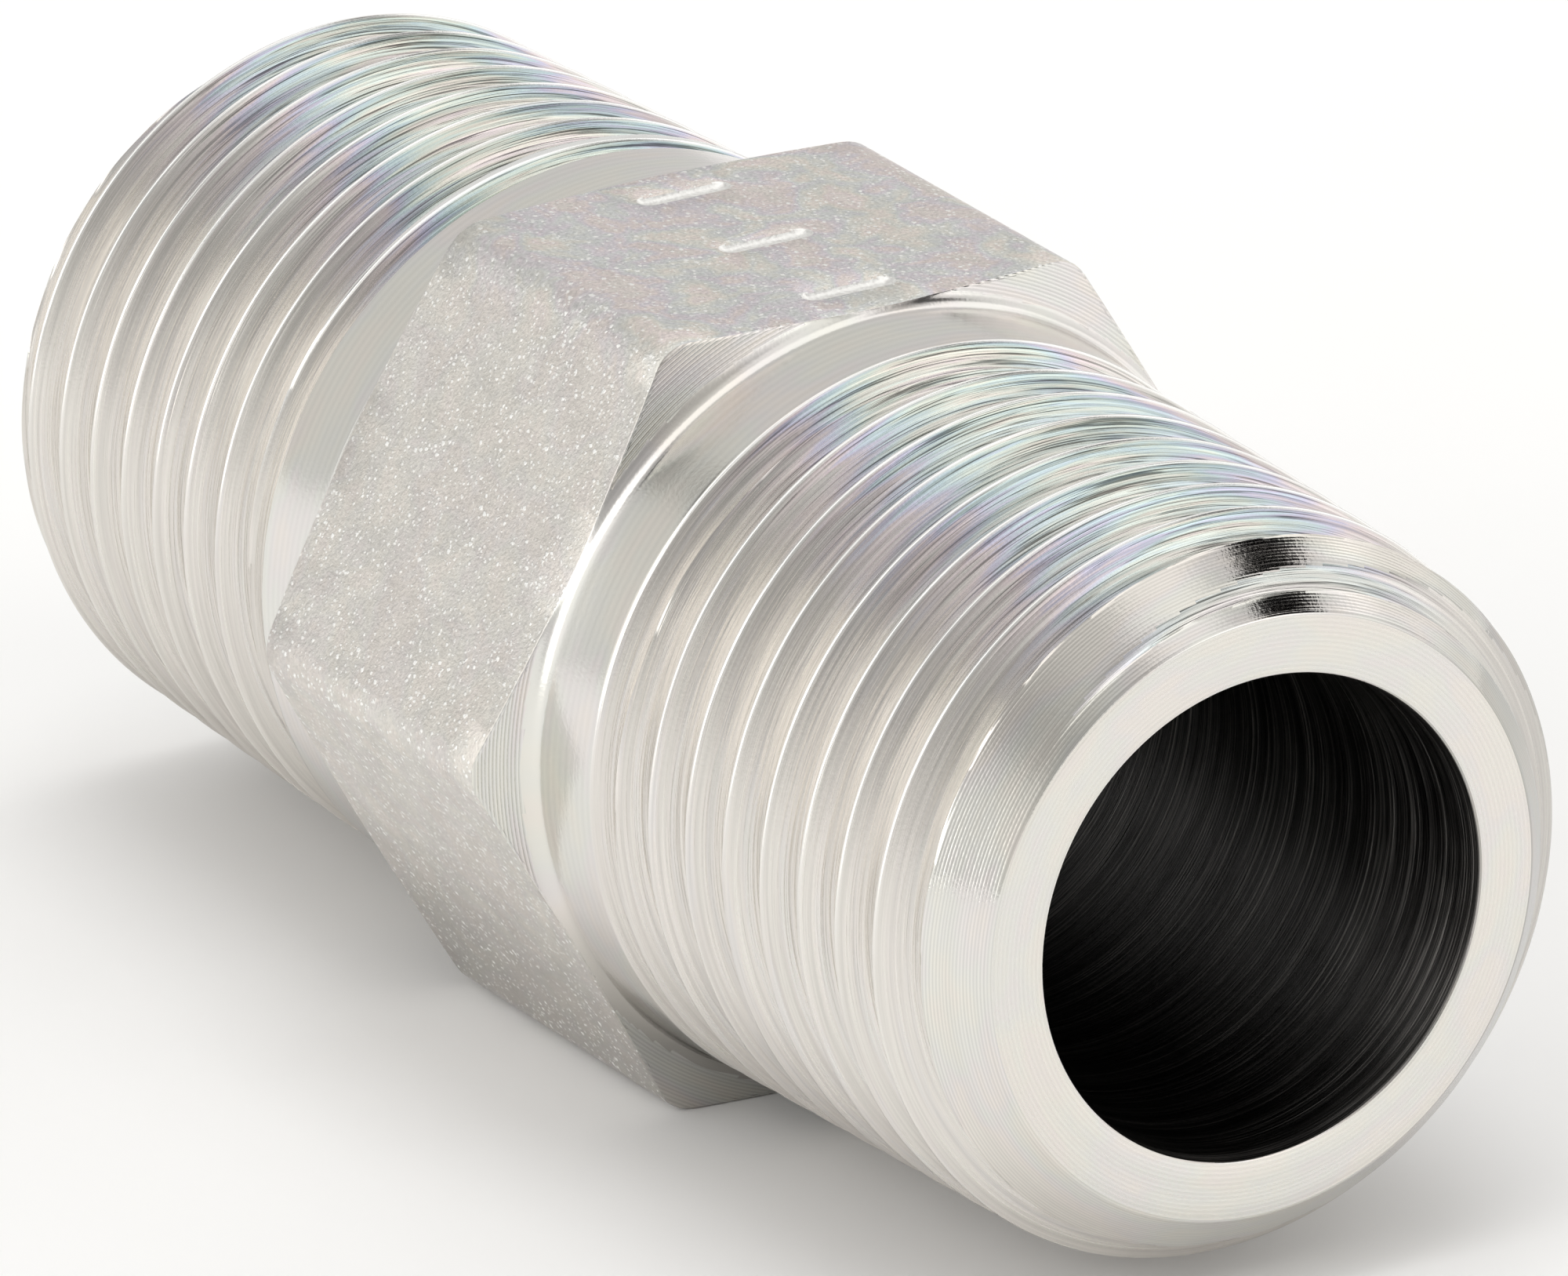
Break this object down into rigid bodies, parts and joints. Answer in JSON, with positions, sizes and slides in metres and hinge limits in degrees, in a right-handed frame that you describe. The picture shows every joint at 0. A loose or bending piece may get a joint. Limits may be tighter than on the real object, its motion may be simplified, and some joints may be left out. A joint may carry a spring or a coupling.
{
  "type": "hex nipple",
  "caption": "Straight hex nipple: a hexagon wrench section between two tapered external pipe threads, with a plain through bore.",
  "frame": {"origin": "on the bore's axis, midway between the two end faces", "axes": "+X along the bore towards the front end; +Z is the outward normal of the stamped hexagon flat; +Y completes the right-handed frame, towards a hexagon corner"},
  "size_m": [0.0504, 0.0252, 0.0222],
  "materials": {
    "zinc_plated_steel": "bright zinc plate over machined steel, satin on the hexagon flats and finely turned elsewhere"
  },
  "bodies": {
    "root": {"nipple_body": "zinc_plated_steel"}
  },
  "joints": []
}
